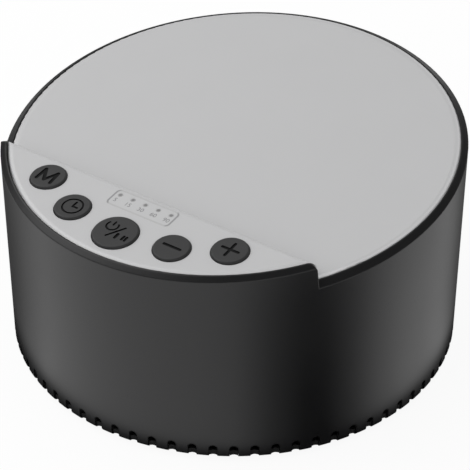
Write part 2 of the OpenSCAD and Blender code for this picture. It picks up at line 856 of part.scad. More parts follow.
// Pressed steel basket, seen from its flange up to the magnet, with four windows
module speaker_basket() {
  z = speaker_z;
  m = flange_metal;
  seat_r = shelf_r + spider_seat_w;
  seat_z = spider_z + spider_up;
  basket_inner_r = gap_r + 1.3;
  color(steel) difference() {
    rotate_extrude() polygon([
      [throat_r - m, z], [speaker_r, z], [speaker_r, z + m], [throat_r, z + m],
      [seat_r + m, spider_z - 0.7], [seat_r + m, seat_z + m], [shelf_r + m, seat_z + m],
      [shelf_r + m, basket_top], [basket_inner_r, basket_top], [basket_inner_r, basket_top - m],
      [shelf_r, basket_top - m], [shelf_r, seat_z], [seat_r, seat_z],
      [seat_r, spider_z - 1], [throat_r - m, z + m / 2]
    ]);
    for (a = [45 : 90 : 315]) rotate([0, 0, a]) translate([shelf_r + 1, -window_w / 2, z + window_low])
      cube([speaker_r, window_w, spider_z - z - window_low - window_high]);
  }
}

module speaker_front_plate() {
  color(steel) ring(plate_r, gap_r, basket_top, magnet_z);
}

module speaker_magnet() {
  color([0.2, 0.2, 0.21]) ring(magnet_r, gap_r + 2.2, magnet_z, back_z);
}

// Back plate with its pole, which stands inside the voice coil
module speaker_back_plate() {
  color(steel) union() {
    rod(plate_r, back_z, back_z + pole_plate_t);
    rod(pole_r, basket_top, back_z + eps);
  }
}

// Corrugated cloth disc that centres the voice coil
module speaker_spider() {
  inner = coil_r + 0.1;
  step = (shelf_r - inner) / spider_waves;
  upper = concat(
    [for (i = [0 : spider_waves]) [inner + i * step, spider_z - wave_h * (i % 2)]],
    [[shelf_r + spider_rim_w, spider_z]]
  );
  color("goldenrod") rotate_extrude() polygon(concat(
    [for (p = upper) [p[0], p[1] + spider_up]],
    [for (i = [len(upper) - 1 : -1 : 0]) [upper[i][0], upper[i][1] - spider_down]]
  ));
}

// Former and winding of the voice coil
module voice_coil() {
  mid = basket_top + pole_plate_t / 2;
  coil_half = pole_plate_t / 2 + cone_travel;
  color("peru") union() {
    ring(coil_r, coil_r - former_t, cone_neck_z - coil_dip, mid + coil_half + coil_end);
    ring(coil_r + coil_t, coil_r - eps, mid - coil_half, mid + coil_half);
  }
}

// Height of the cone's underside at a radius
function cone_under(r) = cone_edge_z + (cone_r - 1.3 - r) / (cone_r - 1.3 - coil_r) * (cone_h - 0.2);

// Paper cone with a flat rim
module speaker_cone() {
  z = cone_edge_z;
  color([0.12, 0.12, 0.12]) rotate_extrude() polygon([
    [cone_r, z], [cone_r, z + cone_t], [cone_r - 1.2, z + cone_t], [coil_r, cone_neck_z + cone_t],
    [coil_r, cone_neck_z - 0.2], [cone_r - 1.3, z]
  ]);
}

// Domed cap over the voice coil
module dust_cap() {
  cap_r = coil_r + cap_rim_w;
  mid = cone_under(cap_r) - 0.1 + sqrt(pow(cap_ball_r - cap_t, 2) - cap_r * cap_r);
  color([0.12, 0.12, 0.12]) rotate_extrude() intersection() {
    translate([0, mid]) difference() {
      circle(cap_ball_r);
      circle(cap_ball_r - cap_t);
    }
    translate([0, mid - cap_ball_r - 1]) square([cap_r, cap_ball_r]);
  }
}

// Rubber half roll that joins the cone's rim to the flange
module speaker_surround() {
  z = speaker_z - cone_t;
  inside = cone_r - 1.2;
  outside = throat_r;
  mid = (cone_r + outside) / 2 - 0.4;
  roll = (outside - cone_r) / 2 - 0.55;
  color([0.09, 0.09, 0.09]) rotate_extrude() union() {
    translate([inside, z]) square([mid - roll + cone_t - inside, cone_t]);
    translate([mid + roll - cone_t, z]) square([outside - 0.1 - mid - roll + cone_t, cone_t]);
    intersection() {
      translate([mid, z + eps]) difference() {
        circle(roll);
        circle(roll - cone_t);
      }
      translate([mid - roll - 1, z - roll - 1]) square([2 * roll + 2, roll + 1 + 2 * eps]);
    }
  }
}

// Foam ring between flange and baffle
module speaker_gasket() {
  color("dimgray") ring(speaker_r, throat_r + 0.2, baffle_top, speaker_z);
}

// Baffle: carries speaker and main board, and closes the sound space from above
module baffle_plate() {
  rim_r = speaker_r + 0.3;
  rim_high = speaker_z + flange_metal + 0.6;
  root = baffle_top - 1;
  color(black) difference() {
    union() {
      rod(inner_r - plate_gap, baffle_z, baffle_top);
      difference() {
        ring(rim_r + rib_t, rim_r, root, rim_high);
        at_speaker_screws() rod(speaker_boss_r + 1.6, root - 1, rim_high + 1);
      }
      at_speaker_screws() rod(speaker_boss_r, root, speaker_z + flange_metal);
      at_main_posts() rod(main_post_r, root, main_board_z);
      for (a = [0 : 90 : 270]) rotate([0, 0, a]) translate([rim_r + rib_t / 2, -rib_t / 2, root])
        cube([inner_r - rim_r - 2, rib_t, 1 + baffle_rib_h]);
    }
    rod(throat_r, baffle_z - 1, baffle_top + 1);
    at_base_screws() rod(screw_r + screw_play, baffle_z - 1, baffle_top + 1);
    at_speaker_screws() rod(small_hole_r, baffle_z + 0.3, rim_high);
    at_main_posts() rod(small_hole_r, main_board_z - 4.5, main_board_z + 1);
  }
}

// Copies its children to the speaker's four screws
module at_speaker_screws() {
  for (a = [45 : 90 : 315]) rotate([0, 0, a]) translate([speaker_screw_ring, 0, 0]) children();
}

// Base plate with posts, a cone that spreads the sound, ribs, and seats for screws and feet
module base_plate() {
  color(black) difference() {
    union() {
      rod(base_r, foot_stand, base_top);
      at_base_screws() rod(post_r, base_top - eps, baffle_z);
      translate([0, 0, base_top - eps]) cylinder(r1 = spreader_r, r2 = spreader_tip, h = spreader_h);
      for (a = [0 : 45 : 315]) rotate([0, 0, a + 22.5])
        translate([spreader_r - 2, -rib_t / 2, base_top - eps])
          cube([base_r - spreader_r - 3, rib_t, base_rib_h]);
    }
    at_base_screws() {
      rod(head_r + 0.25, foot_stand - 1, head_seat);
      rod(screw_r + screw_play, 0, baffle_z + 1);
    }
    at_feet() rod(foot_d / 2 + 0.1, foot_stand - 1, foot_stand + foot_inset);
  }
}

// Copies its children to the four feet
module at_feet() {
  for (a = [0 : 90 : 270]) rotate([0, 0, a]) translate([foot_ring, 0, 0]) children();
}

// Rubber feet, stuck in shallow seats of the base plate
module rubber_feet() {
  color([0.1, 0.1, 0.1]) at_feet() union() {
    rod(foot_d / 2, foot_edge, foot_stand + foot_inset);
    cylinder(r1 = foot_d / 2 - foot_edge, r2 = foot_d / 2, h = foot_edge + eps);
  }
}

// A screw with its head below z = 0 and a cross recess in the head
module screw(head, head_t, shank, length) {
  arm = head * 1.1;
  union() {
    difference() {
      rod(head, -head_t, 0);
      translate([-arm / 2, -recess_w / 2, -head_t - 1]) cube([arm, recess_w, 1 + recess_depth]);
      translate([-recess_w / 2, -arm / 2, -head_t - 1]) cube([recess_w, arm, 1 + recess_depth]);
    }
    rod(shank, -eps, length);
  }
}

// Long screws that clamp base plate and baffle to the shell
module base_screws() {
  color(steel) at_base_screws() translate([0, 0, head_seat]) screw(head_r, head_h, screw_r, screw_len);
}

// Screws that hold the top panel down on the ledge
module panel_screws() {
  color(steel) in_top() for (a = EARS) rotate([0, 0, a]) translate([ear_ring, 0, ear_low])
    screw(panel_head_r, panel_head_h, small_screw_r, ear_t + ear_drop + panel_t / 2 - screw_end_gap);
}

// Screws that hold the key board
module key_board_screws() {
  color(steel) in_top() {
    at_tall_bosses() translate([0, 0, key_board_under])
      screw(board_head_r, key_head_h, small_screw_r, board_screw_len);
    at_short_bosses() translate([0, 0, key_board_under])
      screw(board_head_r, key_head_h, small_screw_r, short_screw_len);
  }
}

// Screws that hold the main board, heads up
module main_board_screws() {
  color(steel) at_main_posts() translate([0, 0, main_board_top]) rotate([180, 0, 0])
    screw(board_head_r, panel_head_h, small_screw_r, board_screw_len);
}

// Screws whose wide heads clamp the speaker's flange
module speaker_screws() {
  color(steel) at_speaker_screws() translate([0, 0, speaker_z + flange_metal]) rotate([180, 0, 0])
    screw(speaker_head_r, panel_head_h, small_screw_r, speaker_screw_len);
}

outer_shell();
top_panel();
base_plate();
baffle_plate();
rubber_feet();
button_mode();
button_timer();
button_power();
button_minus();
button_plus();
plunger_mode();
plunger_timer();
plunger_power();
plunger_minus();
plunger_plus();
switch_housings();
key_board();
light_pipe();
indicator_leds();
ribbon_cable();
ribbon_sockets();
main_board();
board_chips();
capacitors();
power_socket();
socket_tongue();
speaker_lead();
lead_socket();
speaker_terminals();
speaker_basket();
speaker_front_plate();
speaker_magnet();
speaker_back_plate();
speaker_spider();
voice_coil();
speaker_cone();
dust_cap();
speaker_surround();
speaker_gasket();
base_screws();
panel_screws();
key_board_screws();
main_board_screws();
speaker_screws();
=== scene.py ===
import math

import bmesh
import bpy
import numpy as np
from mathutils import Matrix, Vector


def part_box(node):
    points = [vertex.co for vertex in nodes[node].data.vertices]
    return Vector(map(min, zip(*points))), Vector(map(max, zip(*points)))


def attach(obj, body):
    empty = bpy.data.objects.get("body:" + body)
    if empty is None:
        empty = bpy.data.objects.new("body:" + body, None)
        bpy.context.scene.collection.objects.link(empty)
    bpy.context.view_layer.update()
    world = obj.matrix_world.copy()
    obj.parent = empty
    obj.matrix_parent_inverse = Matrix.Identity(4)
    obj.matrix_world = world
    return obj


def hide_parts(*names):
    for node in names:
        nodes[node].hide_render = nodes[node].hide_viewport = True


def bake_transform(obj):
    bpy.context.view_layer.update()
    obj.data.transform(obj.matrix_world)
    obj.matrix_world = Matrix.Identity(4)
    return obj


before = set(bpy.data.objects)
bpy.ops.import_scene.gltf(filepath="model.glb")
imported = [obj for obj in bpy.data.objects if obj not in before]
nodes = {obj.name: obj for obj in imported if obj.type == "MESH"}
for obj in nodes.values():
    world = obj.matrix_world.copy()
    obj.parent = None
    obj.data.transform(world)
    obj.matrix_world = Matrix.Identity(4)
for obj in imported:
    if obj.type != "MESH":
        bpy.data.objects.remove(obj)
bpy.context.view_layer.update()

# Camera: a long lens that looks down at the machine's right front from above.
# It is only turned and placed, with a small upward shift to frame the machine.
aim = Vector((0, 0, 0.01763))
turn, rise, distance = math.radians(35.04), math.radians(35.63), 0.4246
back = Vector((math.sin(turn) * math.cos(rise), -math.cos(turn) * math.cos(rise), math.sin(rise)))
lens = bpy.data.cameras.new("camera")
lens.lens, lens.sensor_width = 145.07, 36
lens.shift_x, lens.shift_y = 0.00191, 0.03963
camera = bpy.data.objects.new("camera", lens)
camera.rotation_mode = "QUATERNION"
camera.rotation_quaternion = (-back).to_track_quat("-Z", "Y")
camera.location = aim + back * distance
bpy.context.scene.collection.objects.link(camera)
bpy.context.scene.camera = camera
bpy.context.scene.view_settings.view_transform = "Standard"


# Studio floor: a wide white sheet that takes the machine's shadow. It is also what the plastic
# mirrors, so rays that are seen find it nearly even. From below it is clear, like a glass table.
class Socket:
    """An output in a node tree. Sums and products of it add Math nodes; node() adds any other node."""

    def __init__(self, tree, end):
        self.tree = tree
        self.end = end

    def node(self, kind, settings, sockets, output=0):
        """Adds one node: its settings first, then a value or a link for each socket."""
        made = self.tree.nodes.new(kind)
        for key, value in settings.items():
            if key == "stops":
                # A new ramp has two stops, so only those past the second are added to it.
                stops = made.color_ramp.elements
                for place, _ in value[2:]:
                    stops.new(place)
                for stop, (place, grey) in zip(stops, sorted(value)):
                    stop.position = place
                    stop.color = (grey, grey, grey, 1)
            else:
                setattr(made, key, value)
        for key, value in sockets.items():
            if isinstance(value, Socket):
                self.tree.links.new(value.end, made.inputs[key])
            else:
                made.inputs[key].default_value = value
        return Socket(self.tree, made.outputs[output]) if made.outputs else None

    def twin(self, output):
        """Another output of the same node."""
        return Socket(self.tree, self.end.node.outputs[output])

    def maths(self, operation, *values):
        """One Math node on values, each a number or a socket."""
        return self.node("ShaderNodeMath", {"operation": operation}, dict(enumerate(values)))

    def __add__(self, other):
        return self.maths("ADD", self, other)

    def __radd__(self, other):
        return self.maths("ADD", other, self)

    def __sub__(self, other):
        return self.maths("SUBTRACT", self, other)

    def __rsub__(self, other):
        return self.maths("SUBTRACT", other, self)

    def __mul__(self, other):
        return self.maths("MULTIPLY", self, other)

    def __rmul__(self, other):
        return self.maths("MULTIPLY", other, self)

    def __truediv__(self, other):
        return self.maths("DIVIDE", self, other)

    def at_least(self, other):
        """This value, or another one where that is greater."""
        return self.maths("MAXIMUM", self, other)

    def absolute(self):
        """This value without its sign."""
        return self.maths("ABSOLUTE", self)

    def hypot(self, other):
        """The root of this value's square plus another's."""
        return self.maths("SQRT", self * self + other * other)

    def part(self, axis):
        """The X, Y or Z of a vector."""
        return self.node("ShaderNodeSeparateXYZ", {}, {0: self}, axis)

    def over(self, level, soft):
        """0 below a level and 1 above it, with a soft step of the given width."""
        return self.node("ShaderNodeMapRange", {"interpolation_type": "SMOOTHSTEP"},
                         {0: self, 1: level - soft / 2, 2: level + soft / 2})

    def off(self, pitch):
        """The distance from the nearest multiple of a pitch."""
        return self.maths("PINGPONG", self, pitch / 2)

    def wave(self, pitch):
        """A sine wave of this value, from 0 to 1, with the given pitch."""
        return self.maths("SINE", self * (2 * math.pi / pitch)) * 0.5 + 0.5

    def from_axis(self):
        """The distance of a place from the machine's upright axis."""
        return self.part("X").hypot(self.part("Y"))

    def toward(self, *direction):
        """How far a direction points toward another: 1 along it and 0 square to it."""
        return self.node("ShaderNodeVectorMath", {"operation": "DOT_PRODUCT"}, {0: self, 1: direction}, "Value")

    def stretched(self, *scale):
        """The place with each axis scaled, to draw a pattern out along one of them."""
        return self.node("ShaderNodeMapping", {}, {"Vector": self, "Scale": scale})

    def noise(self, size, detail=2.0):
        """Noise from 0 to 1 whose lumps are about `size` metres across, at this place."""
        return self.node("ShaderNodeTexNoise", {}, {"Vector": self, "Scale": 1 / size, "Detail": detail})

    def between(self, first, second):
        """A colour mixed from first to second by this value."""
        return self.node("ShaderNodeMix", {"data_type": "RGBA"}, {0: self, 6: first, 7: second}, 2)

    def relief(self, depth, edge=0.0):
        """A normal from this value as a height of `depth` metres, over edges rounded by a radius."""
        sockets = {"Strength": 1.0, "Distance": depth, "Height": self}
        if edge:
            sockets["Normal"] = self.node("ShaderNodeBevel", {"samples": 6}, {"Radius": edge})
        return self.node("ShaderNodeBump", {}, sockets)

    def show(self, shader):
        """Makes a shader the surface of this tree."""
        self.node("ShaderNodeOutputMaterial", {}, {"Surface": shader})


def palette(name):
    """A new material and the place on the piece, in metres, as its first socket."""
    made = bpy.data.materials.new(name)
    made.use_nodes = True
    made.node_tree.nodes.clear()
    place = made.node_tree.nodes.new("ShaderNodeTexCoord").outputs["Object"]
    return made, Socket(made.node_tree, place)


def surface(name, points, round_u=False, round_v=False):
    """A mesh from a grid of points (rows, columns, 3): each cell of four neighbours is a face.
    A grid may close on itself in either direction."""
    rows, columns = points.shape[:2]
    u = np.arange(rows if round_u else rows - 1)[:, None]
    v = np.arange(columns if round_v else columns - 1)[None, :]
    u1, v1 = (u + 1) % rows, (v + 1) % columns
    faces = np.stack([u * columns + v, u1 * columns + v, u1 * columns + v1, u * columns + v1], -1)
    made = bpy.data.meshes.new(name)
    made.from_pydata(points.reshape(-1, 3).tolist(), [], faces.reshape(-1, 4).tolist())
    return made


def place_piece(name, mesh, *materials):
    """Puts a mesh in the scene as an object at the origin, with its materials."""
    made = bpy.data.objects.new(name, mesh)
    for material in materials:
        made.data.materials.append(material)
    bpy.context.scene.collection.objects.link(made)
    return made


floor_sheet, place = palette("floor_sheet")
ray = place.node("ShaderNodeLightPath", {}, {}, "Is Camera Ray")
mirrored = ray.twin("Is Glossy Ray").at_least(ray.twin("Is Transmission Ray"))
paper = place.node("ShaderNodeBsdfDiffuse", {}, {"Color": (0.95, 0.95, 0.95, 1)})
glow = place.node("ShaderNodeEmission", {}, {"Color": (1, 1, 1, 1), "Strength": 1.0})
seen = ray.at_least(mirrored) * 0.92
from_above = place.node("ShaderNodeMixShader", {}, {0: seen, 1: paper, 2: glow})
nothing = place.node("ShaderNodeBsdfTransparent", {}, {})
from_below = place.node("ShaderNodeNewGeometry", {}, {}, "Backfacing")
place.show(place.node("ShaderNodeMixShader", {}, {0: from_below, 1: from_above, 2: nothing}))
# It lies a hair below the feet, so that its face and theirs never coincide.
floor_level, floor_line = -0.00002, np.linspace(-3.0, 3.0, 9)
floor_grid = np.stack([*np.meshgrid(floor_line, floor_line, indexing="ij"), np.full((9, 9), floor_level)], -1)
floor = place_piece("studio_floor", surface("studio_floor", floor_grid), floor_sheet)

# Studio room: white where it is looked at, and an even dome of light. The plastic mirrors it
# white near the floor and dim above, with one soft window high behind the left side, a dim part
# low at the left and a bright part low at the right.
room = bpy.data.worlds.new("studio_room")
bpy.context.scene.world = room
room.use_nodes = True
room.node_tree.nodes.clear()
sight = Socket(room.node_tree, room.node_tree.nodes.new("ShaderNodeTexCoord").outputs["Generated"])
climb = sight.part("Z")
walls = climb.node("ShaderNodeValToRGB", {"stops": [(0.0, 1.0), (1.0, 0.10), (0.05, 0.9), (0.16, 0.12)]}, {0: climb})
window = sight.toward(-0.467, 0.505, 0.726).over(0.82, 0.18) * 0.5
dim_left = sight.toward(-0.97, -0.22, 0).over(0.80, 0.2) * (1 - climb.over(0.18, 0.1)) * 0.9
bright_right = sight.toward(0.87, -0.49, 0).over(0.84, 0.14) * (1 - climb.over(0.38, 0.12))
walls = (walls.at_least(window) * (1 - dim_left)).at_least(bright_right)
looked_at = walls.node("ShaderNodeLightPath", {}, {}, "Is Camera Ray")
dome, dome_level = looked_at.twin("Is Diffuse Ray"), 0.63
white = (walls * (1 - dome) + dome * dome_level).at_least(looked_at)
air = walls.node("ShaderNodeBackground", {}, {"Color": white, "Strength": 1.0})
walls.node("ShaderNodeOutputWorld", {}, {"Surface": air})


# Lamps: a large soft lamp at the left, whose light the rim and the wall mirror,
# and a soft fill from the left front that only brightens the plastic.
def soft_lamp(name, heading, height, away, size, radiance, mirrored=True):
    """A square lamp that faces the machine. Its power is the radiance it should show, times pi,
    times its area."""
    light = bpy.data.lights.new(name, "AREA")
    light.shape, light.size = "SQUARE", size
    light.energy = radiance * math.pi * size * size
    a, e = math.radians(heading), math.radians(height)
    toward = Vector((math.sin(a) * math.cos(e), -math.cos(a) * math.cos(e), math.sin(e)))
    lamp = bpy.data.objects.new(name, light)
    lamp.rotation_mode = "QUATERNION"
    lamp.rotation_quaternion = toward.to_track_quat("Z", "Y")
    lamp.location = toward * away
    lamp.visible_glossy = mirrored
    bpy.context.scene.collection.objects.link(lamp)


soft_lamp("lamp_left", heading=-78, height=54, away=0.9, size=0.75, radiance=1.4)
soft_lamp("lamp_front", heading=-30, height=42, away=1.2, size=0.9, radiance=1.3, mirrored=False)

# Black cards lie on the floor round the machine and far behind it. The wall mirrors them as
# soft dark bands, with its foot nearly black, the rim at the rear mirrors them too, and
# nothing else sees them.
card, place = palette("black_card")
wall_r, card_level = 0.05, 0.0004
x, y, away = place.part("X"), place.part("Y"), place.from_axis()
bearing = x.maths("ARCTAN2", x * math.cos(turn) + y * math.sin(turn), x * math.sin(turn) - y * math.cos(turn))
# Where round the wall a place is mirrored, as a share of a full turn: at the place's own
# bearing close to the wall, and at half of it far away.
facing = bearing * away / (2 * away - wall_r) * (0.5 / math.pi) + 0.5
band = facing.node("ShaderNodeValToRGB", {"stops": [
    (0.0, 0.6), (1.0, 0.6), (0.194, 0.6), (0.236, 0.1), (0.264, 0.07), (0.294, 0.17), (0.325, 0.55), (0.344, 0.97),
    (0.375, 1.0), (0.397, 0.97), (0.439, 0.9), (0.475, 0.84), (0.5, 0.72), (0.525, 0.23), (0.547, 0.0), (0.564, 0.0),
    (0.586, 0.3), (0.608, 0.75), (0.633, 1.0), (0.656, 0.92), (0.686, 0.82), (0.711, 0.36), (0.731, 0.1),
    (0.764, 0.1), (0.806, 0.6)]}, {0: facing})
wide = bearing.node("ShaderNodeValToRGB", {"stops": [
    (0.0, 0.0), (1.0, 0.0), (0.14, 0.0), (0.18, 1.0), (0.66, 1.0), (0.70, 0.0)]}, {0: bearing * (0.5 / math.pi) + 0.5})
far = away.over(0.14, 0.03)
past_foot = away.over(0.0540, 0.004) * 0.95 + 0.05
past_wall = away.over(0.0502, 0.0002)
lit = (band + (wide - band) * far) * past_foot * past_wall
clear = lit.node("ShaderNodeBsdfTransparent", {}, {})
unlit = lit.node("ShaderNodeBsdfDiffuse", {}, {"Color": (0.0, 0.0, 0.0, 1)})
place.show(lit.node("ShaderNodeMixShader", {}, {0: lit, 1: unlit, 2: clear}))
spokes = np.linspace(0, 2 * math.pi, 96, endpoint=False)[None, :]
rings = np.array([0.0462, 0.0503, 0.055, 0.08, 0.12, 0.18, 0.4, 0.9])[:, None]
card_grid = np.stack([rings * np.sin(spokes), -rings * np.cos(spokes), card_level + 0 * rings * spokes], -1)
cards = place_piece("black_cards", surface("black_cards", card_grid, round_v=True), card)
cards.visible_camera = cards.visible_diffuse = cards.visible_shadow = cards.visible_transmission = False


# Outer shell: one deep tube of black moulded plastic with a slanted bevelled rim,
# a raised lip round the deck and 72 sound notches. The mould's skin is spark eroded.
def finish(place, colour, rough, normal, metal=0.0, shine=0.5, **more):
    """Makes a Principled surface from a colour, a roughness and a normal, with constants beside them."""
    place.show(place.node("ShaderNodeBsdfPrincipled", {}, {
        "Base Color": colour, "Roughness": rough, "Normal": normal, "Metallic": metal,
        "Specular IOR Level": shine, **more}))


def shade(colour, share):
    """A colour made lighter or darker by a share."""
    return tuple(min(1.0, c * share) for c in colour) + (1,)


def moulded(name, colour, rough, grain=0.00012, depth=0.000003, cloud=0.05, edge=0.0, **more):
    """Moulded plastic or rubber. Colour: the pigment, clouded by a few hundredths over centimetres.
    Roughness: a little higher where the cloud and the grain stand high. Normal: fine grain."""
    made, place = palette(name)
    haze = place.noise(0.011, 3.0)
    pores = place.noise(grain, 2.0)
    tint = haze.between(shade(colour, 1 - cloud), shade(colour, 1 + cloud))
    finish(place, tint, rough + (haze - 0.5) * 0.06 + (pores - 0.5) * 0.1, pores.relief(depth, edge), **more)
    return made


def dress(material, *names):
    """Gives CAD nodes a material."""
    for name in names:
        for held in nodes[name].material_slots:
            held.material = material


shell_plastic = moulded("shell_plastic", (0.0075, 0.0075, 0.0080), 0.30, edge=0.0004, shine=0.55)
# The top leans forward by 7 degrees about a line 47.4 mm above the floor.
lean, top_height = math.radians(7), 47.4


def in_top_frame(points):
    """Places of the machine in metres as places of the slanted top's own frame, in millimetres."""
    x, y, z = points[..., 0] * 1000, points[..., 1] * 1000, points[..., 2] * 1000 - top_height
    return np.stack([x, y * math.cos(lean) + z * math.sin(lean), z * math.cos(lean) - y * math.sin(lean)], -1)


def outward(mesh, near=1e-7):
    """Merges the doubles of a mesh, closes its open ends, joins its flat faces and turns all outwards."""
    work = bmesh.new()
    work.from_mesh(mesh)
    bmesh.ops.remove_doubles(work, verts=work.verts, dist=near)
    bmesh.ops.holes_fill(work, edges=[edge for edge in work.edges if edge.is_boundary])
    bmesh.ops.dissolve_limit(work, angle_limit=0.002, verts=work.verts, edges=work.edges)
    bmesh.ops.recalc_face_normals(work, faces=work.faces)
    work.to_mesh(mesh)
    work.free()
    return mesh


def soften(mesh, angle):
    """Smooth faces, sharp where they meet at more than an angle."""
    mesh.polygons.foreach_set("use_smooth", np.ones(len(mesh.polygons), bool))
    mesh.set_sharp_from_angle(angle=math.radians(angle))


def read(items, field, width, kind=float):
    """One field of a mesh's items as an array with a row for each item."""
    values = np.empty(len(items) * width, kind)
    items.foreach_get(field, values)
    return values.reshape(-1, width)


# The lip's two ends are turned square to the rim: their points slide round the body by the
# angle between the step's line, 28 mm ahead of the middle, and a spoke at 54.3 degrees, and
# keep their height. The ends stand on the rim, whose bevel falls from 48.65 mm outwards.
step_ahead, end_spoke = 28, 54.3
rim_inside, bevel_from, bevel_fall, step_front, step_rear = 48.4, 48.65, 0.6, -29.6, -27.9
shell_mesh = outward(nodes["outer_shell"].data.copy(), 2e-6)
spots = read(shell_mesh.vertices, "co", 3)
local = in_top_frame(spots)
spread = np.hypot(local[:, 0], local[:, 1])
low_rim = -bevel_fall * np.maximum(spread - bevel_from, 0)
on_step = (local[:, 1] > step_front) & (local[:, 1] < step_rear)
end = on_step & (spread > rim_inside) & (local[:, 2] > low_rim - 0.02)
off_spoke = np.degrees(np.arccos(step_ahead / np.maximum(spread, 48.0))) - end_spoke
slide = np.radians(np.where(end, off_spoke, 0)) * -np.sign(spots[:, 0])
turned = np.stack([spots[:, 0] * np.cos(slide) - spots[:, 1] * np.sin(slide),
                   spots[:, 0] * np.sin(slide) + spots[:, 1] * np.cos(slide)], -1)
raised = top_height / 1000 + (local[:, 2] * 0.001 + turned[:, 1] * math.sin(lean)) / math.cos(lean)
spots = np.where(end[:, None], np.column_stack([turned, raised]), spots)
shell_mesh.vertices.foreach_set("co", spots.ravel())
shell_mesh.materials.clear()
shell_mesh.update()
soften(shell_mesh, 20)
# The wall's corners, those at its radius whose faces look outwards, point straight out from
# the axis, so that it shines as one round surface. All others keep their own directions.
corners = read(shell_mesh.corner_normals, "vector", 3)
spoke = spots[read(shell_mesh.loops, "vertex_index", 1, np.int32)[:, 0]] * (1, 1, 0)
spoke_length = np.linalg.norm(spoke, axis=1, keepdims=True)
spoke /= spoke_length
corners_each = read(shell_mesh.polygons, "loop_total", 1, np.int32)[:, 0]
flat = np.repeat(read(shell_mesh.polygons, "normal", 3), corners_each, 0)
wall = (np.abs(spoke_length[:, 0] - wall_r) < 0.00005) & ((flat * spoke).sum(1) > 0.95)
shell_mesh.normals_split_custom_set(np.where(wall[:, None], spoke, corners).tolist())
shell = place_piece("shell", shell_mesh, shell_plastic)
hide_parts("outer_shell")
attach(shell, "housing")
dress(shell_plastic, "outer_shell")


# Top panel: one light grey moulding, a flat disc with the raised control deck. It is dropped
# into the shell's recess and held by four screws from below. Its front edges carry a painted
# highlight, and the fold behind the deck is painted paler to lift its shade.
def along_top(place):
    """How far a place lies to the rear of the slanted top's middle, in metres: its Y and its height
    over the middle, turned back by the top's lean."""
    return place.part("Y") * math.cos(lean) + (place.part("Z") - top_height / 1000) * math.sin(lean)


panel_plastic, place = palette("panel_plastic")
panel_grey, panel_edge, fold_ahead = (0.515, 0.515, 0.520), 0.0474, 0.0284
haze, pores = place.noise(0.011, 3.0), place.noise(0.00016, 2.0)
deck_y = along_top(place)
# Painted highlight: the deck's front edge is painted paler where a lamp would shine on its rounding, and the fold is
# painted paler to lift the shade of its rounding.
rim = place.part("X").hypot(deck_y - 0.00015).over(panel_edge, 0.0008)
front_part = 1 - deck_y.over(-0.024, 0.012)
fold = 1 - (deck_y + fold_ahead).absolute().over(0.0006, 0.0008)
painted_highlight = (rim * front_part).at_least(fold * 0.6)
grey = haze.between(shade(panel_grey, 0.988), shade(panel_grey, 1.012))
finish(place, painted_highlight.between(grey, (0.635, 0.635, 0.640, 1)),
       0.45 - painted_highlight * 0.08 + (pores - 0.5) * 0.1, (pores * 0.012 - rim * 0.25).relief(0.0004))
dress(panel_plastic, "top_panel")


# Print on the deck: one thin line round the five windows and the timer's minutes by each,
# pad printed in a slightly darker grey, so it stands only a hair above the plastic.
def on_deck(points):
    """Places of the slanted top's own frame, in millimetres, as places of the machine in metres:
    turned about X by the top's lean and raised to its height."""
    x, y, z = points[..., 0], points[..., 1], points[..., 2]
    level = y * math.sin(lean) + z * math.cos(lean) + top_height
    return np.stack([x, y * math.cos(lean) - z * math.sin(lean), level], -1) * 0.001


deck_level = 4.6
line_w, line_h = 0.4, 0.012
frame_half, frame_low, frame_high, frame_round = 7.76, -34.35, -29.7, 0.9
# The line's middle runs through four quarter circles, one at each corner of the frame.
swing = np.radians(np.concatenate([np.linspace(q, q + 90, 9) for q in (0, 90, 180, 270)]))
frame_y, frame_rise = (frame_high + frame_low) / 2, (frame_high - frame_low) / 2
corner_x = np.where(np.cos(swing + 0.01) > 0, 1, -1) * (frame_half - frame_round)
corner_y = frame_y + np.where(np.sin(swing + 0.01) > 0, 1, -1) * (frame_rise - frame_round)
line_path = np.stack([corner_x + frame_round * np.cos(swing), corner_y + frame_round * np.sin(swing), 0 * swing], -1)
line_out = np.stack([np.cos(swing), np.sin(swing), 0 * swing], -1)
across = np.array([0.5, -0.5, -0.5, 0.5])[None, :, None] * line_w
upward = np.array([1.0, 1.0, -0.2, -0.2])[None, :, None] * line_h
line_grid = line_path[:, None, :] + line_out[:, None, :] * across + np.array([0, 0, 1.0]) * upward
line_grid[..., 2] += deck_level

# The line is painted paler on its long sides and darker at both ends: painted light and shade, as from lamps at the
# side.
print_ink, place = palette("print_ink")
painted_end_shade = place.part("X").absolute().over(0.0072, 0.0006)
speck = place.noise(0.0003, 2.0)
finish(place, painted_end_shade.between(speck.between((0.44, 0.44, 0.44, 1), (0.48, 0.48, 0.48, 1)), (0.29, 0.29, 0.295, 1)),
       0.45 + speck * 0.1, speck.relief(0.000002))
window_frame = place_piece("window_frame", outward(surface("window_frame", on_deck(line_grid), True, True)), print_ink)
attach(window_frame, "housing")

numeral_ink = moulded("numeral_ink", (0.22, 0.22, 0.225), 0.5, grain=0.0001, depth=0.000002, cloud=0.1)
numeral_size, numeral_pitch, numeral_aside, numeral_y = 1.55, 3.24, -0.05, -32.8
for count, minutes in enumerate(("5", "15", "30", "60", "90")):
    letters = bpy.data.curves.new("numeral", "FONT")
    letters.body, letters.size, letters.extrude = minutes, numeral_size, line_h
    letters.align_x = letters.align_y = "CENTER"
    holder = bpy.data.objects.new("numeral", letters)
    numeral = bpy.data.meshes.new_from_object(holder)
    printed_at = np.array([(count - 2) * numeral_pitch + numeral_aside, numeral_y, deck_level])
    numeral.vertices.foreach_set("co", on_deck(read(numeral.vertices, "co", 3) + printed_at).ravel())
    numeral.materials.clear()
    piece = place_piece("minutes_" + minutes, outward(numeral), numeral_ink)
    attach(piece, "housing")
    bpy.data.objects.remove(holder)
    bpy.data.curves.remove(letters)


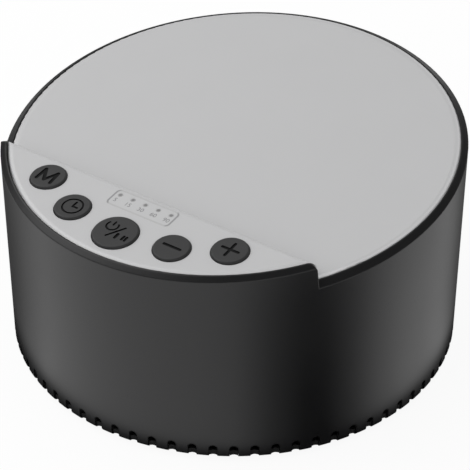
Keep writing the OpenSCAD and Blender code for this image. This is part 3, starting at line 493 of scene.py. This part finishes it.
# Buttons: five hollow caps of dark grey plastic with a soft matt skin, moulded with
# their stems. The upper edge is well rounded, and each symbol is sunk into the top.
cap_top, sink, knife_over = 5.1, 0.22, 0.3
thin, thick, bold = 0.42, 0.68, 0.82
button_plastic = moulded("button_plastic", (0.027, 0.027, 0.0275), 0.45, grain=0.0002, depth=0.000004)
# The symbols' sunk floors are coloured far darker than the caps' tops.
symbol_floor = moulded("symbol_floor", (0.006, 0.006, 0.0062), 0.6, grain=0.0002, depth=0.000005, shine=0.2)
dress(button_plastic, "button_mode", "button_timer", "button_power", "button_minus", "button_plus")


def stroke(path, width=thick):
    """A closed bar with round ends along a path, as a tube of four corners: half the width to each
    side, from the sunk floor to above the cap. At the ends the half width falls as a quarter circle."""
    path = np.array(path, float)
    along = np.gradient(path, axis=0)
    along /= np.linalg.norm(along, axis=1)[:, None]
    q = np.radians(np.array([90, 67, 45, 22]))[:, None]
    start = path[0] - along[0] * np.sin(q) * width / 2
    end = (path[-1] + along[-1] * np.sin(q) * width / 2)[::-1]
    middle = np.concatenate([start, path, end])
    way = np.concatenate([np.repeat(along[:1], 4, 0), along, np.repeat(along[-1:], 4, 0)])
    half = np.concatenate([np.cos(q), np.ones((len(path), 1)), np.cos(q)[::-1]]) * width / 2
    side = np.stack([-way[:, 1], way[:, 0]], -1) * half
    left, right = middle + side, middle - side
    low, high = np.full((len(middle), 1), cap_top - sink), np.full((len(middle), 1), cap_top + knife_over)
    corners = [np.hstack([left, high]), np.hstack([right, high]), np.hstack([right, low]), np.hstack([left, low])]
    return np.stack(corners, 1)


def arc(x, y, radius, first, last):
    """Points along a circle's arc from its first angle to its last, about 10 degrees apart."""
    a = np.radians(np.linspace(first, last, int(abs(last - first) / 10) + 2))
    return np.stack([x + radius * np.cos(a), y + radius * np.sin(a)], -1)


symbols = {
    "mode": [stroke([(-1.85, -1.6), (-1.75, 1.6)], bold), stroke([(-1.75, 1.6), (-0.05, -1.4)], bold),
             stroke([(-0.05, -1.4), (1.5, 1.6)], bold), stroke([(1.5, 1.6), (1.8, -1.65)], bold)],
    "timer": [stroke(arc(0.1, -0.05, 2.18, 0, 190), thin), stroke(arc(0.1, -0.05, 2.18, 180, 370), thin),
              stroke([(0.15, -0.1), (0.15, 1.3)], 0.5), stroke([(0.15, -0.1), (1.25, -0.1)], 0.5)],
    "power": [stroke(arc(-1.56, 1.2, 1.3, 148, 398), thin), stroke([(-1.56, 1.45), (-1.56, 2.45)], thin),
              stroke([(-1.0, -1.85), (1.26, 1.85)], 0.48), stroke([(1.0, -0.35), (1.02, -1.5)], 0.7),
              stroke([(2.55, -0.3), (2.55, -1.35)], 0.58), stroke([(3.25, -0.3), (3.25, -1.35)], 0.58)],
    "minus": [stroke([(-1.9, 0.1), (2.0, 0.1)])],
    "plus": [stroke([(-1.85, 0.1), (1.9, 0.1)]), stroke([(0, -1.8), (0, 1.95)])],
}
# Each cap's middle on the deck and its radius.
caps = {
    "mode": (-23.16, -34.08, 3.9), "timer": (-12.59, -39.23, 3.9), "power": (0, -41.2, 4.85),
    "minus": (12.59, -39.23, 3.9), "plus": (23.16, -34.08, 3.9)}
cad_edge, cap_edge = 0.3, 0.4
for key, (x, y, radius) in caps.items():
    cap_middle = np.array([x, y])
    cutter = bmesh.new()
    for bar in symbols[key]:
        cutter.from_mesh(outward(surface("bar", on_deck(bar + np.array([x, y, 0])), round_v=True)))
    knife_mesh = bpy.data.meshes.new("knife")
    cutter.to_mesh(knife_mesh)
    cutter.free()
    knife_mesh.polygons.foreach_set("material_index", np.ones(len(knife_mesh.polygons), int))
    knife = place_piece("knife", knife_mesh, button_plastic, symbol_floor)

    # The edge's quarter circle grows by a third, inwards and downwards, from 0.3 mm to 0.4 mm.
    cap_mesh = outward(nodes["button_" + key].data.copy(), 2e-6)
    local = in_top_frame(read(cap_mesh.vertices, "co", 3))
    from_middle = local[:, :2] - cap_middle
    spread = np.linalg.norm(from_middle, axis=1)
    upper = local[:, 2] > cap_top - cad_edge - 0.005
    edge = upper & (spread > radius - cad_edge - 0.01)
    inset = np.where(edge, radius - (radius - spread) * 4 / 3, spread)
    local[:, :2] = cap_middle + from_middle * (inset / np.maximum(spread, 1e-6))[:, None]
    local[:, 2] = np.where(upper, cap_top - cap_edge + (local[:, 2] - cap_top + cad_edge) * 4 / 3, local[:, 2])
    cap_mesh.vertices.foreach_set("co", on_deck(local).ravel())
    cap_mesh.materials.clear()
    cap_mesh.polygons.foreach_set("material_index", np.zeros(len(cap_mesh.polygons), int))
    cap = place_piece("cap_" + key, cap_mesh, button_plastic, symbol_floor)

    cut = cap.modifiers.new("symbol", "BOOLEAN")
    cut.operation, cut.solver, cut.use_self, cut.object = "DIFFERENCE", "EXACT", True, knife
    engraved = bpy.data.meshes.new_from_object(cap.evaluated_get(bpy.context.evaluated_depsgraph_get()))
    cap.modifiers.clear()
    cap.data = engraved
    bpy.data.objects.remove(knife)
    soften(engraved, 32)
    cap.modifiers.new("even", "WEIGHTED_NORMAL").keep_sharp = True
    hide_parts("button_" + key)
    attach(cap, "key_" + key)

# Key switches: a square black housing with a pressed steel cover over its upper part,
# soldered on four tinned feet. The plunger is a brown moulding that clicks down.
made, place = palette("switch_parts")
level = place.part("Z") * math.cos(lean) - place.part("Y") * math.sin(lean) - top_height / 1000 * math.cos(lean)
cover_low, feet_high = -0.0011, -0.00288
cover, feet = level.over(cover_low, 0.0001), 1 - level.over(feet_high, 0.00002)
pressed = cover.at_least(feet)
brush = place.stretched(1, 30, 1).noise(0.0009, 3.0)
steel_tint = brush.between(shade((0.56, 0.56, 0.55), 0.9), shade((0.60, 0.60, 0.59), 1.05))
finish(place, pressed.between((0.02, 0.02, 0.021, 1), steel_tint), 0.5 - pressed * 0.18 + (brush - 0.5) * 0.12,
       brush.relief(0.000004), pressed)
dress(made, "switch_housings")
plunger_plastic = moulded("plunger_plastic", (0.16, 0.07, 0.035), 0.42, grain=0.00008, depth=0.000003)
dress(plunger_plastic, *[name for name in nodes if name.startswith("plunger_")])

# Light pipe: one smoked clear moulding under the deck. Its five pins end flush in the
# deck's windows, where they look like small grey dots while the lamps are off.
made, place = palette("window_plastic")
pin_pitch, pins_ahead = 0.00324, 0.03105
from_pin = place.part("X").off(pin_pitch).hypot(along_top(place) + pins_ahead)
smoke = place.noise(0.0003, 2.0)
pin_tint = smoke.between((0.19, 0.19, 0.19, 1), (0.23, 0.23, 0.23, 1))
finish(place, from_pin.over(0.00036, 0.00016).between(pin_tint, (0.42, 0.42, 0.42, 1)),
       0.2 + smoke * 0.06, smoke.relief(0.000002))
dress(made, "light_pipe")

# Indicator lamps: white ceramic bodies with tinned ends and a pale yellow lens
# in the middle, soldered on the key board in one row.
made, place = palette("lamp_parts")
end_from, lens_r = 0.00062, 0.0004
off_middle = place.part("X").off(pin_pitch)
ends, lens_spot = off_middle.over(end_from, 0.00002), 1 - off_middle.over(lens_r, 0.00005)
speck = place.noise(0.0002, 2.0)
body_tint = lens_spot.between((0.78, 0.77, 0.72, 1), speck.between((0.80, 0.66, 0.22, 1), (0.84, 0.74, 0.34, 1)))
finish(place, ends.between(body_tint, (0.66, 0.66, 0.64, 1)), 0.35 + speck * 0.1, speck.relief(0.000003), ends)
dress(made, "indicator_leds")

# Circuit boards: glass fibre under a green lacquer. Copper tracks lie under the lacquer
# as lighter raised lines, and rows of tinned holes show between them.
made, place = palette("board_lacquer")
tracks = place.node("ShaderNodeTexBrick", {"offset": 0.5}, {
    "Vector": place, "Scale": 1.0, "Mortar Size": 0.00022, "Mortar Smooth": 0.2, "Brick Width": 0.0051,
    "Row Height": 0.00127}, "Fac")
copper = tracks * place.noise(0.006, 1.0).over(0.48, 0.04)
hole_pitch, hole_r = 0.00254, 0.00045
from_hole = place.part("X").off(hole_pitch).hypot(place.part("Y").off(hole_pitch))
tin = (1 - from_hole.over(hole_r, 0.00006)) * place.noise(0.009, 0.0).over(0.56, 0.02)
weave = place.noise(0.0005, 2.0)
lacquer = copper.between(weave.between((0.006, 0.070, 0.030, 1), (0.010, 0.090, 0.040, 1)), (0.020, 0.190, 0.080, 1))
finish(place, tin.between(lacquer, (0.62, 0.62, 0.60, 1)), 0.28 + weave * 0.08,
       (copper + tin * 0.5).relief(0.00003), tin)
dress(made, "key_board", "main_board")

# Ribbon between the boards: flat tinned conductors, one millimetre apart, laid between
# two strips of milky white film.
made, place = palette("ribbon_film")
conductor_pitch, conductor_half = 0.001, 0.0003
conductor = 1 - place.part("X").off(conductor_pitch).over(conductor_half, 0.00006)
haze = place.noise(0.0012, 2.0)
tinned = haze.between((0.42, 0.42, 0.41, 1), (0.50, 0.50, 0.49, 1))
finish(place, conductor.between((0.74, 0.76, 0.78, 1), tinned),
       0.34 + haze * 0.08, conductor.relief(0.00004), conductor * 0.5)
dress(made, "ribbon_cable")

# Sockets of the ribbon and of the speaker lead: ivory nylon, moulded with a slightly
# uneven waxy skin.
socket_nylon = moulded("socket_nylon", (0.70, 0.62, 0.46), 0.38, grain=0.0005, depth=0.000008, cloud=0.04)
dress(socket_nylon, "ribbon_sockets", "lead_socket")

# Chips: black epoxy bodies with a fine sandy skin and a row of bent tinned leads
# along both long sides.
made, place = palette("chip_parts")
# The right hand chip lies 2.5 mm further to the rear than the left hand one.
chip_y, chip_half = 0.0265 + place.part("X").over(-0.003, 0.0001) * 0.0025, 0.00197
leads = (place.part("Y") - chip_y).absolute().over(chip_half, 0.00003)
sand = place.noise(0.00006, 2.0)
finish(place, leads.between(sand.between((0.018, 0.018, 0.019, 1), (0.030, 0.030, 0.031, 1)), (0.64, 0.64, 0.62, 1)),
       0.6 - leads * 0.3 + (sand - 0.5) * 0.1, sand.relief(0.00001), leads)
dress(made, "board_chips")

# Capacitors: drawn aluminium cans with fine marks round them, crimped over a square
# foot of black plastic.
made, place = palette("capacitor_parts")
foot_top, crimp_z = 0.0195, 0.0204
can = place.part("Z").over(foot_top, 0.00005)
drawn = place.stretched(1, 1, 25).noise(0.003, 3.0)
# The crimp's groove is painted darker: painted shade.
crimp = (1 - (place.part("Z") - crimp_z).absolute().over(0.00025, 0.0003)) * can
tint = crimp.between(drawn.between((0.68, 0.68, 0.69, 1), (0.78, 0.78, 0.79, 1)), (0.40, 0.40, 0.41, 1))
finish(place, can.between((0.02, 0.02, 0.02, 1), tint), 0.5 - can * 0.2 + (drawn - 0.5) * 0.1,
       (drawn * 0.3 - crimp).relief(0.00006), can)
dress(made, "capacitors")


# Power socket: a drawn steel shell, nickel plated, soldered to the main board. Inside is
# a black tongue with a row of gold plated contacts on both faces.
def plated(name, colour, rough, brush=(1, 1, 20), size=0.002, marks=0.08):
    """Plated or drawn metal. Colour and roughness follow fine marks, stretched along one axis,
    and a faint cloud of tarnish. Normal: the same marks as shallow scratches."""
    made, place = palette(name)
    scratch = place.stretched(*brush).noise(size, 4.0)
    cloud = place.noise(0.007, 3.0)
    tint = cloud.between(shade(colour, 0.9), shade(colour, 1.05))
    finish(place, tint, rough + (scratch - 0.5) * marks * 2 + (cloud - 0.5) * 0.08, scratch.relief(0.000004), 1.0)
    return made


dress(plated("socket_nickel", (0.60, 0.59, 0.56), 0.26, brush=(1, 12, 1)), "power_socket")
made, place = palette("tongue_parts")
contact_pitch, contact_half, row_half, row_end = 0.0005, 0.00012, 0.003, 0.0478
in_row = (1 - place.part("X").absolute().over(row_half, 0.00002)) * (1 - place.part("Y").over(row_end, 0.00002))
gold = (1 - place.part("X").off(contact_pitch).over(contact_half, 0.00002)) * in_row
fine = place.noise(0.0001, 2.0)
finish(place, gold.between(fine.between((0.012, 0.012, 0.012, 1), (0.02, 0.02, 0.02, 1)), (0.83, 0.60, 0.25, 1)),
       0.5 - gold * 0.22 + (fine - 0.5) * 0.1, (gold + fine * 0.1).relief(0.00002), gold)
dress(made, "socket_tongue")

# Base plate and baffle plate: black moulded discs with posts and ribs, left with the
# duller spark eroded skin of parts that nobody touches. The base's edge has 72 teeth that
# stand in the shell's sound notches and close them at the bottom.
inner_plastic = moulded("inner_plastic", (0.014, 0.014, 0.0145), 0.46, grain=0.0003, depth=0.00001)
dress(inner_plastic, "base_plate", "baffle_plate")
# A tooth is a block from inside the plate's edge to 0.7 mm short of the wall's face, hollowed
# in plan by half a cosine, and drawn in at its foot. It has corners at three heights, and its
# turn round the axis is its number times 5 degrees.
teeth, tooth_half, tooth_root, tooth_face, tooth_hollow = 72, 0.00088, 0.0483, 0.0493, 0.0003
heights_and_draws = ((0.00101, 0.0006), (0.0013, 0.0), (0.0025, 0.0))
across_tooth = np.linspace(-1, 1, 7)
face_r = tooth_face - tooth_hollow * np.cos(across_tooth * math.pi / 2)
front = np.stack([across_tooth * tooth_half, face_r, 0 * across_tooth], -1)
layer = np.concatenate([[(tooth_half, tooth_root, 0), (-tooth_half, tooth_root, 0)], front])
ring = len(layer)
block = np.concatenate([layer + (0, 0, height) - np.where(layer[:, 1:2] > tooth_root, (0, draw, 0), 0)
                        for height, draw in heights_and_draws])
turns = np.arange(teeth)[:, None] * 2 * math.pi / teeth
teeth_at = np.stack([block[:, 0] * np.cos(turns) + block[:, 1] * np.sin(turns),
                     block[:, 0] * np.sin(turns) - block[:, 1] * np.cos(turns), block[:, 2] + 0 * turns], -1)
tooth_faces = [[k, (k + 1) % ring, (k + 1) % ring + ring, k + ring] for k in range(ring)]
tooth_faces += [[corner + ring for corner in face] for face in tooth_faces]
tooth_faces += [list(range(ring)), list(range(2 * ring, 3 * ring))]
all_faces = [[corner + len(block) * tooth for corner in face] for tooth in range(teeth) for face in tooth_faces]
teeth_mesh = bpy.data.meshes.new("base_teeth")
teeth_mesh.from_pydata(teeth_at.reshape(-1, 3).tolist(), [], all_faces)
base_teeth = place_piece("base_teeth", outward(teeth_mesh), inner_plastic)
soften(teeth_mesh, 40)
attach(base_teeth, "housing")

# Feet: four soft discs with a dull skin, punched from black rubber sheet and stuck in
# shallow seats of the base plate.
dress(moulded("foot_rubber", (0.020, 0.020, 0.020), 0.72, grain=0.00025, depth=0.00002, shine=0.3), "rubber_feet")

# Loudspeaker metal: pressed and zinc plated steel for basket and plates, and turned
# marks round the axis where the plates were faced.
made, place = palette("turned_zinc")
lathe = place.from_axis().wave(0.0006)
cloud = place.noise(0.006, 3.0)
finish(place, cloud.between((0.50, 0.51, 0.53, 1), (0.60, 0.61, 0.62, 1)), 0.27 + cloud * 0.1 + lathe * 0.06,
       lathe.relief(0.000004), 1.0)
dress(made, "speaker_front_plate", "speaker_back_plate")
dress(plated("basket_zinc", (0.55, 0.56, 0.58), 0.34, brush=(1, 1, 8), size=0.003), "speaker_basket")

# Magnet: a sintered ferrite ring, charcoal grey, matt and slightly chalky, with small
# pores and paler dust in them.
made, place = palette("ferrite")
pore = place.noise(0.0006, 4.0)
pits = 1 - pore.over(0.38, 0.06)
finish(place, pits.between(pore.between((0.045, 0.045, 0.048, 1), (0.075, 0.075, 0.080, 1)), (0.11, 0.11, 0.11, 1)),
       0.62 + pore * 0.15, (pore - pits * 0.6).relief(0.00004))
dress(made, "speaker_magnet")

# Spider: a disc of open weave cotton, pressed into rings and stiffened with amber
# varnish. The threads cross every 0.45 mm.
made, place = palette("spider_cloth")
thread = place.part("X").wave(0.00045).at_least(place.part("Y").wave(0.00045))
varnish = place.noise(0.003, 3.0)
finish(place, (thread * 0.7 + varnish * 0.3).between((0.16, 0.075, 0.018, 1), (0.52, 0.32, 0.11, 1)),
       0.66 - varnish * 0.12, thread.relief(0.00009))
dress(made, "speaker_spider")

# Voice coil: enamelled copper wire wound in close turns on a former of brown paper, which
# is glued to the cone's neck and stands free in the magnet's gap.
made, place = palette("coil_parts")
coil_z, coil_r, coil_low, coil_high = place.part("Z"), 0.00652, 0.02319, 0.02681
turns_only = coil_z.over(coil_low, 0.00001) * (1 - coil_z.over(coil_high, 0.00001))
wound = place.from_axis().over(coil_r, 0.00002) * turns_only
# Each turn is painted lighter on its crown and darker where it meets the next: painted highlight and shade.
turn_profile = coil_z.wave(0.00016)
fibre = place.noise(0.0004, 3.0)
wire_tint = turn_profile.between((0.22, 0.07, 0.03, 1), (0.72, 0.31, 0.16, 1))
finish(place, wound.between(fibre.between((0.36, 0.22, 0.11, 1), (0.46, 0.29, 0.15, 1)), wire_tint),
       0.7 - wound * 0.4 + (fibre - 0.5) * 0.1, (turn_profile * wound + fibre * 0.2).relief(0.00005), wound * 0.9)
dress(made, "voice_coil")

# Cone and dust cap: black paper pulp, felted from short fibres, so its skin is matt and
# a little hairy, with lighter fibres in it.
made, place = palette("cone_paper")
felt = place.noise(0.0007, 5.0)
hairs = place.stretched(1, 4, 1).noise(0.0014, 4.0)
pale = hairs.over(0.62, 0.08)
finish(place, pale.between(felt.between((0.022, 0.022, 0.022, 1), (0.040, 0.040, 0.040, 1)), (0.085, 0.082, 0.078, 1)),
       0.82 + (felt - 0.5) * 0.1, (felt + pale * 0.4).relief(0.00007), shine=0.25)
dress(made, "speaker_cone", "dust_cap")

# Surround and gasket: a thin black rubber half roll with a faint bloom, and a ring of
# open foam that seals the flange. The roll comes in twelve arcs.
surround_rubber = moulded("surround_rubber", (0.016, 0.016, 0.016), 0.55, grain=0.0004, depth=0.00001,
                          cloud=0.25, shine=0.35)
arcs, rubber_t, roll_r, roll_sag = 12, 0.0004, 0.0013, 0.0011
outer_edge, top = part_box("speaker_surround")[1][0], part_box("speaker_surround")[1][2]
cone_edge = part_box("speaker_cone")[1][0]
roll_middle = (cone_edge + outer_edge) / 2 - 0.00035
# The section's middle line is flat but for the roll, which sags as a rounded cosine.
roll_at = np.linspace(cone_edge - 0.0012, outer_edge, 45)
sag = roll_sag * (0.5 + 0.5 * np.cos(math.pi * np.clip((roll_at - roll_middle) / roll_r, -1, 1))) ** 0.75
middle = np.stack([roll_at, top - rubber_t / 2 - sag], -1)
run = np.gradient(middle, axis=0)
square = np.stack([-run[:, 1], run[:, 0]], -1) / np.linalg.norm(run, axis=1, keepdims=True) * rubber_t / 2
section = np.concatenate([middle + square, (middle - square)[::-1]])
for number in range(arcs):
    angle = (number + np.linspace(-0.5, 0.5, 9)[:, None]) * 2 * math.pi / arcs
    arc_grid = np.stack([np.cos(angle) * section[:, 0], np.sin(angle) * section[:, 0], section[:, 1] + 0 * angle], -1)
    roll_mesh = outward(surface("surround", arc_grid, round_v=True))
    soften(roll_mesh, 40)
    roll = place_piece("surround_%d" % (number + 1), roll_mesh, surround_rubber)
    ahead = np.array([math.cos(2 * math.pi * number / arcs), math.sin(2 * math.pi * number / arcs), 0])
    reach = (roll_middle + roll_r) * math.cos(math.pi / arcs)
    ahead * reach
    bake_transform(roll)
    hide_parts("speaker_surround")
made, place = palette("gasket_foam")
cells = place.node("ShaderNodeTexVoronoi", {}, {"Vector": place, "Scale": 2600.0})
# The cells' hollows are painted darker: painted shade.
hollow = 1 - cells.over(0.35, 0.25)
finish(place, hollow.between((0.085, 0.085, 0.085, 1), (0.025, 0.025, 0.025, 1)), 0.9 - hollow * 0.1,
       (1 - hollow).relief(0.00012), shine=0.2)
dress(made, "speaker_gasket")

# Speaker lead: two wires in smooth insulation, the outer one red and the inner one
# black, bent over from the terminals to their socket.
made, place = palette("lead_insulation")
# The wires bend over on one round, and the outer wire lies outside its radius.
bend_r, bend_z = 0.01285, 0.0236
outer_wire = (place.part("Y") - bend_r).hypot((place.part("Z") - bend_z).at_least(0.0)).over(bend_r, 0.0002)
wax = place.noise(0.0008, 3.0)
finish(place, outer_wire.between(wax.between((0.012, 0.012, 0.012, 1), (0.02, 0.02, 0.02, 1)),
                                 wax.between((0.42, 0.018, 0.014, 1), (0.52, 0.03, 0.02, 1))),
       0.36 + wax * 0.1, wax.relief(0.00002))
dress(made, "speaker_lead")

# Speaker terminals: two tinned brass tags riveted to a strip of brown fibre board, which
# stands on the speaker's flange.
made, place = palette("terminal_parts")
strip_top = 0.01541
tag = place.part("Z").over(strip_top, 0.00002)
layers = place.stretched(1, 1, 6).noise(0.0005, 3.0)
finish(place, tag.between(layers.between((0.13, 0.06, 0.025, 1), (0.22, 0.11, 0.05, 1)),
                          layers.between((0.60, 0.58, 0.52, 1), (0.70, 0.68, 0.62, 1))),
       0.6 - tag * 0.3 + layers * 0.08, layers.relief(0.00002), tag)
dress(made, "speaker_terminals")

# Screws: steel, blue zinc plated, with forged heads and cross recesses. The driver has
# left its first bright marks on them.
dress(plated("screw_zinc", (0.56, 0.58, 0.61), 0.28, brush=(3, 3, 14), size=0.0012, marks=0.1),
      *[name for name in nodes if name.endswith("_screws")])
